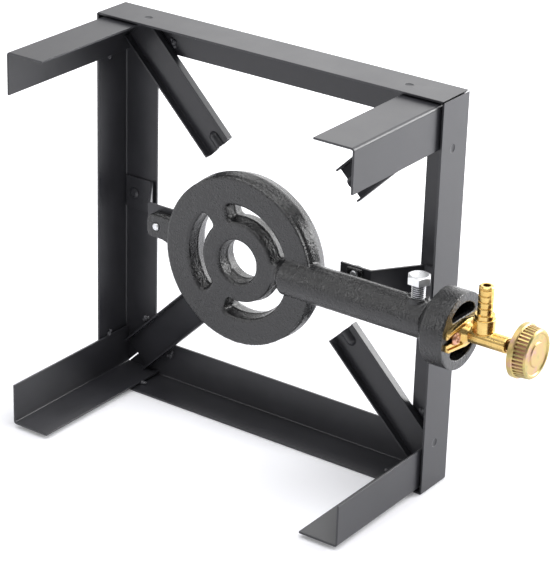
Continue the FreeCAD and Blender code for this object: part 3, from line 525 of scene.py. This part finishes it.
def castCopy(nodeName, pieceName, voxel, rounds, lumps=()):
    piece = copyNode(nodeName, pieceName)
    if lumps:
        joinPieces(piece, lumps)
    useModifier(piece, "REMESH", mode="VOXEL", voxel_size=voxel)
    useModifier(piece, "SMOOTH", factor=castShape["smoothing"], iterations=rounds)
    return piece


def addSkin(piece, name):
    cloud = bpy.data.textures.new(name, "CLOUDS")
    cloud.noise_scale = castShape["skinSize"]
    cloud.noise_depth = castShape["skinDetail"]
    useModifier(piece, "DISPLACE", texture=cloud, texture_coords="LOCAL", strength=castShape["skinHeight"],
                mid_level=0.5)


# Ridge of the mould's joint in slots and hole, and the groove above the ring's lip
def raiseParting(piece):
    moves = []
    for point in piece.data.vertices:
        away = point.co - ringCentre
        inside = math.hypot(away.x, away.y) < castShape["openRadius"]
        level = abs(point.co.z - castShape["partingHeight"])
        lip = abs(point.co.z - castShape["lipHeight"])
        steep = abs(point.normal.z) < castShape["steepBelow"]
        if inside and steep and level < castShape["partingReach"]:
            raised = castShape["partingRidge"] * (1 - level / castShape["partingReach"])
            raised += castShape["flash"] * max(1 - level / castShape["flashReach"], 0)
            moves.append((point, point.normal * raised))
        elif not inside and steep and lip < castShape["lipReach"] and point.normal.dot(away) > 0:
            moves.append((point, point.normal * castShape["lipDepth"] * (lip / castShape["lipReach"] - 1)))
    for point, step in moves:
        point.co += step


def finishCasting(piece, skinName, nodeName):
    addSkin(piece, skinName)
    smoothShade(piece, castShape["shadeAngle"])
    handOver(piece, castIron, nodes=[nodeName])


fill = castShape["fill"]
lumps = [ringPlug(inner - fill, outer + fill, low - fill, high + fill)
         for inner, outer, low, high in castShape["chambers"]]
boreRadius, boreStart, boreStop = castShape["bore"]
lumps.append(tubePlug(boreRadius + fill, boreStart, boreStop))
lumps += [partingSeam(-1), partingSeam(1)]
casting = castCopy("burner_casting", "burner_casting_sand", castShape["voxel"], castShape["rounds"], lumps)
raiseParting(casting)
finishCasting(casting, "castingSkin", "burner_casting")
bell = castCopy("mixing_bell", "mixing_bell_sand", castShape["bellVoxel"], castShape["bellRounds"])
finishCasting(bell, "bellSkin", "mixing_bell")
print("castings done:", len(casting.data.polygons), "and", len(bell.data.polygons), "faces")


# Locking bolt: threaded shank and a hexagon head with its corners turned off

boltShape = {
    "pitch": 1.5 * mm,
    "core": 4.0 * mm,
    "crest": 5.0 * mm,
    "head": 6.2 * mm,
    "crown": 6.6 * mm,
    "crownSlope": math.tan(math.radians(60)),
    "edge": 0.25 * mm,
    "sharpAngle": 28,
    "shadeAngle": 32,
    "turnedSides": 64,
    "shankSides": 48,
    "threadSteps": 32,
    "threadMerge": 1e-7,
}
boltLow, boltHigh = boxOf("locking_bolt")
boltMiddle = middleOf("locking_bolt")
boltCorner = (boltHigh.y - boltLow.y) / 2
underHead = boltLow.x + boltShape["head"]
threadLook = {
    "metallic": 0.85,
    "noises": {"tint": (200, 3, 0.55)},
    "colour": ("tint", [(0.3, (0.78, 0.79, 0.81)), (0.7, (0.88, 0.89, 0.90))]),
    "roughness": ("tint", 0.26, 0.38),
    "bumps": [("tint", 0.03, 0.1 * mm)],
    # Painted shade: the thread's roots are coloured near black, fading to the zinc's colour at its crests
    "grooves": {"colour": (0.09, 0.09, 0.10), "along": "X", "centre": boltMiddle,
                "bottom": 4.05 * mm, "crest": 4.75 * mm, "plainBelow": underHead},
}


def boltBar(radius, endRadius, start, stop, sides):
    deselectAll()
    bpy.ops.mesh.primitive_cone_add(vertices=sides, radius1=radius, radius2=endRadius, depth=start - stop,
                                    location=((start + stop) / 2, boltMiddle.y, boltMiddle.z),
                                    rotation=(0, -math.pi / 2, 0))
    bar = bpy.context.object
    applyPlace(bar)
    return bar


# A triangle, wound up along the shank
def boltThread(start, stop):
    reach = boltShape["pitch"] / math.sqrt(3)
    deselectAll()
    bpy.ops.mesh.primitive_circle_add(vertices=3, radius=reach, location=(boltShape["crest"] - reach, 0, 0),
                                      rotation=(math.pi / 2, math.pi / 2, 0))
    ridge = bpy.context.object
    applyPlace(ridge)
    useModifier(ridge, "SCREW", axis="Z", angle=2 * math.pi, screw_offset=boltShape["pitch"],
                steps=boltShape["threadSteps"], render_steps=boltShape["threadSteps"],
                iterations=int((start - stop) / boltShape["pitch"]))
    startEditing(ridge)
    bpy.ops.mesh.remove_doubles(threshold=boltShape["threadMerge"])
    bpy.ops.mesh.fill_holes(sides=4)
    bpy.ops.mesh.normals_make_consistent(inside=False)
    stopEditing()
    ridge.rotation_euler = (0, -math.pi / 2, 0)
    ridge.location = (start, boltMiddle.y, boltMiddle.z)
    applyPlace(ridge)
    return ridge


boltHead = boltBar(boltCorner, boltCorner, underHead, boltLow.x, 6)
turnedCone = boltBar(boltShape["crown"] + boltShape["head"] * boltShape["crownSlope"], boltShape["crown"],
                     underHead, boltLow.x, boltShape["turnedSides"])
cutWith(boltHead, [turnedCone], "INTERSECT")
bevelEdges(boltHead, boltShape["edge"], boltShape["sharpAngle"])
shank = boltBar(boltShape["core"], boltShape["core"], boltHigh.x, underHead, boltShape["shankSides"])
bolt = joinPieces(boltHead, [shank, boltThread(boltHigh.x, underHead)])
bolt.name = "locking_bolt_threaded"
evenShade(bolt, boltShape["shadeAngle"])
handOver(bolt, makeFinish("zincThread", threadLook), nodes=["locking_bolt"])
print("bolt done")


# Screws with a cross recess in every head

recessShape = {
    "length": 4.6 * mm,
    "width": 0.9 * mm,
    "depth": 1.3 * mm,
    "firstTurn": 0.5,        # radians
    "nextTurn": 0.7,
    "shadeAngle": 40,
}


def crossCutters(place, axis, turn):
    cutters = []
    for quarter in (0, math.pi / 2):
        deselectAll()
        bpy.ops.mesh.primitive_cube_add(size=1)
        cutter = bpy.context.object
        facing = Vector(axis).to_track_quat("Z", "Y") @ Matrix.Rotation(turn + quarter, 3, "Z").to_quaternion()
        setPlace(cutter, (recessShape["length"], recessShape["width"], 2 * recessShape["depth"]), facing, place)
        cutters.append(cutter)
    return cutters


def recessedScrews(nodeName, heads, axis, material):
    piece = copyNode(nodeName, nodeName + "_recessed")
    cutters = []
    for i, place in enumerate(heads):
        cutters += crossCutters(place, axis, recessShape["firstTurn"] + recessShape["nextTurn"] * i)
    cutWith(piece, cutters)
    evenShade(piece, recessShape["shadeAngle"])
    handOver(piece, material, nodes=[nodeName])


valveLow, valveHigh = boxOf("valve_screws")
valveHead = (valveHigh.x - valveLow.x) / 2      # a head's radius
recessedScrews("valve_screws",
               [(0, valveLow.y, valveLow.z + valveHead), (0, valveLow.y, valveHigh.z - valveHead)],
               (0, -1, 0), copper)
strapLow, strapHigh = boxOf("strap_screws")
strapHead = strapHigh.x
recessedScrews("strap_screws",
               [(0, strapHigh.y - strapHead, strapHigh.z),
                (strapLow.x + strapHead, strapLow.y + strapHead, strapHigh.z)],
               (0, 0, 1), zinc)
print("screws done")


# Valve: a soft-edged brass casting, a turned hose nozzle and a fluted knob with its edges broken

valveShape = {
    "voxel": 0.36 * mm,
    "rounds": 3,
    "nozzleEdge": 0.18 * mm,
    "knobEdge": 0.2 * mm,
    "sharpAngle": 35,
    "shadeAngle": 45,
}
knobLook = {
    "metallic": 1.0,
    "noises": {"tint": (110, 4, 0.6)},
    "colour": ("tint", [(0.32, (0.34, 0.30, 0.13)),      # olive
                        (0.46, (0.50, 0.39, 0.15)),      # gold
                        (0.58, (0.52, 0.36, 0.17)),      # amber
                        (0.70, (0.52, 0.33, 0.27))]),    # pink
    "roughness": ("tint", 0.30, 0.44),
    "bumps": [("tint", 0.03, 0.1 * mm)],
    # Painted shade: the flutes' bottoms are coloured dark brown, fading to the knob's colours at their crests
    "grooves": {"colour": (0.27, 0.14, 0.09), "along": "Y", "centre": (0, 0, tubeHeight),
                "bottom": 17.15 * mm, "crest": 17.7 * mm,
                "plainBelow": boxOf("control_knob")[0].y + 1.3 * mm},    # the flutes end behind the face
}


def turnPiece(nodeName, pieceName, edge, material, body="burner"):
    piece = copyNode(nodeName, pieceName)
    mergeFlats(piece)
    bevelEdges(piece, edge, valveShape["sharpAngle"])
    evenShade(piece, valveShape["shadeAngle"])
    handOver(piece, material, body, nodes=[nodeName])


valveBody = castCopy("valve_body", "valve_body_cast", valveShape["voxel"], valveShape["rounds"])
smoothShade(valveBody)
handOver(valveBody, brass, nodes=["valve_body"])
turnPiece("hose_nozzle", "hose_nozzle_turned", valveShape["nozzleEdge"], brass)
turnPiece("control_knob", "control_knob_fluted", valveShape["knobEdge"], makeFinish("yellowZinc", knobLook),
          "knob")
# The spindle's dark brown brass is painted shade
plainNodes = {"gas_jet": brass, "valve_spindle": paintedShadeBrass, "spindle_seal": rubber}
for nodeName, material in plainNodes.items():
    setMaterial(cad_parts[nodeName], material)
print("valve done:", len(valveBody.data.polygons), "faces")


# Camera at the photograph's viewing angle: below and in front, with the nozzle's side up

cameraLook = {
    "place": (-0.69636, -0.87524, -1.19685),
    "right": (-0.02748, -0.81266, 0.58209),
    "up": (-0.91079, 0.26033, 0.32045),
    "back": (-0.41195, -0.52135, -0.74732),
    "lens": 152.7,
    "sensor": 36,
    "clipStart": 0.05,
}
cameraData = bpy.data.cameras.new("camera")
camera = bpy.data.objects.new("camera", cameraData)
bpy.context.scene.collection.objects.link(camera)
cameraData.sensor_width = cameraLook["sensor"]
cameraData.lens = cameraLook["lens"]
cameraData.clip_start = cameraLook["clipStart"]
axes = Matrix((cameraLook["right"], cameraLook["up"], cameraLook["back"])).transposed()
camera.matrix_world = Matrix.Translation(cameraLook["place"]) @ axes.to_4x4()
bpy.context.scene.camera = camera


# Stage: a white floor under the side that the stand lies on in the photograph, clear from behind

stageLook = {
    "floorColour": (0.86, 0.86, 0.89),
    "roughness": 0.9,
    "shine": 0.1,
    "glowNear": 0.15,        # low near the part: a painted shade round it, which also keeps its shadow
    "glowFar": 0.6,
    "nearRadius": 0.30,
    "farRadius": 0.80,
    "sideFloor": 0.1503,     # just outside the stand
    "size": 6.0,
}


# 1 for rays that show the stage: straight to the camera, or by way of metal or glass
def addWhereSeen(owner):
    path = addNode(owner, "LightPath")
    seen, output = path, "Is Camera Ray"
    for other in ("Is Glossy Ray", "Is Transmission Ray"):
        either = addNode(owner, "Math", "MAXIMUM")
        wire(owner, seen, output, either, 0)
        wire(owner, path, other, either, 1)
        seen, output = either, "Value"
    return seen


def makeFloorMaterial(name):
    material, shader = newMaterial(name, shine=stageLook["shine"])
    shader.inputs["Base Color"].default_value = (*stageLook["floorColour"], 1)
    shader.inputs["Roughness"].default_value = stageLook["roughness"]
    shader.inputs["Emission Color"].default_value = (1, 1, 1, 1)
    coords = addNode(material, "TexCoord")
    away = addNode(material, "VectorMath", "LENGTH")
    wire(material, coords, "Object", away, 0)
    # The floor glows more the farther it is from the part, so the floor round the part carries painted shade
    rise = addRange(material, away, "Value", stageLook["nearRadius"], stageLook["farRadius"],
                    stageLook["glowNear"], stageLook["glowFar"])
    glow = addNode(material, "Math", "MULTIPLY")
    wire(material, addWhereSeen(material), "Value", glow, 0)
    wire(material, rise, "Result", glow, 1)
    wire(material, glow, "Value", shader, "Emission Strength")
    clear = addNode(material, "BsdfTransparent")
    geometry = addNode(material, "NewGeometry")
    mix = addNode(material, "MixShader")
    wire(material, geometry, "Backfacing", mix, "Fac")
    wire(material, shader, "BSDF", mix, 1)
    wire(material, clear, "BSDF", mix, 2)
    wire(material, mix, "Shader", material.node_tree.nodes["Material Output"], "Surface")
    return material


deselectAll()
bpy.ops.mesh.primitive_plane_add(size=stageLook["size"], location=(stageLook["sideFloor"], 0, 0),
                                 rotation=(0, -math.pi / 2, 0))
sideFloor = bpy.context.object
sideFloor.name = "sideFloor"
sideFloor.data.materials.append(makeFloorMaterial("paleSweep"))


# Light: a white room, dimmer on the side that the camera stands on, with soft lamps

lampLook = {
    "aim": (0, 0, 0.08),
    "lamps": {                # place, size, power
        "overhead": ((-1.4, -0.2, -0.1), 1.4, 18),
        "rightSide": ((-0.60, -0.86, 1.27), 0.75, 19),
        "leftSide": ((-0.66, 0.83, -1.05), 0.4, 3),
        "useOverhead": ((-0.5, 0.1, 1.5), 2.0, 13),
    },
}
roomLook = {
    "lightColour": (0.97, 0.98, 1.0, 1),
    "light": 0.5,
    "shownColour": (1, 1, 1, 1),
    "bright": 1.0,
    "dim": 0.22,
    "dimSide": cameraLook["back"],
    "fadeFrom": 0.1,          # cosine of the angle to the dim side
    "fadeTo": 0.7,
}


def addLamp(name, place, size, power):
    lampData = bpy.data.lights.new(name, "AREA")
    lampData.shape = "SQUARE"
    lampData.size = size
    lampData.energy = power
    lamp = bpy.data.objects.new(name, lampData)
    bpy.context.scene.collection.objects.link(lamp)
    lamp.location = place
    lamp.rotation_mode = "QUATERNION"
    lamp.rotation_quaternion = (Vector(lampLook["aim"]) - Vector(place)).to_track_quat("-Z", "Y")


for name, (place, size, power) in lampLook["lamps"].items():
    addLamp(name, place, size, power)

world = bpy.data.worlds.new("room")
bpy.context.scene.world = world
world.use_nodes = True
world.node_tree.nodes.clear()
roomLight = addNode(world, "Background", Color=roomLook["lightColour"], Strength=roomLook["light"])
shownRoom = addNode(world, "Background", Color=roomLook["shownColour"])
direction = addNode(world, "TexCoord")
towards = addNode(world, "VectorMath", "DOT_PRODUCT")
towards.inputs[1].default_value = roomLook["dimSide"]
wire(world, direction, "Generated", towards, 0)
fade = addRange(world, towards, "Value", roomLook["fadeFrom"], roomLook["fadeTo"],
                roomLook["bright"], roomLook["dim"])
path = addNode(world, "LightPath")
whiteness = addNode(world, "Math", "MAXIMUM")
wire(world, fade, "Result", whiteness, 0)
wire(world, path, "Is Camera Ray", whiteness, 1)
wire(world, whiteness, "Value", shownRoom, "Strength")
blendRoom = addNode(world, "MixShader")
wire(world, addWhereSeen(world), "Value", blendRoom, "Fac")
wire(world, roomLight, "Background", blendRoom, 1)
wire(world, shownRoom, "Background", blendRoom, 2)
wire(world, blendRoom, "Shader", addNode(world, "OutputWorld"), "Surface")
bpy.context.scene.view_settings.view_transform = "Standard"
print("camera, stage and light ready")
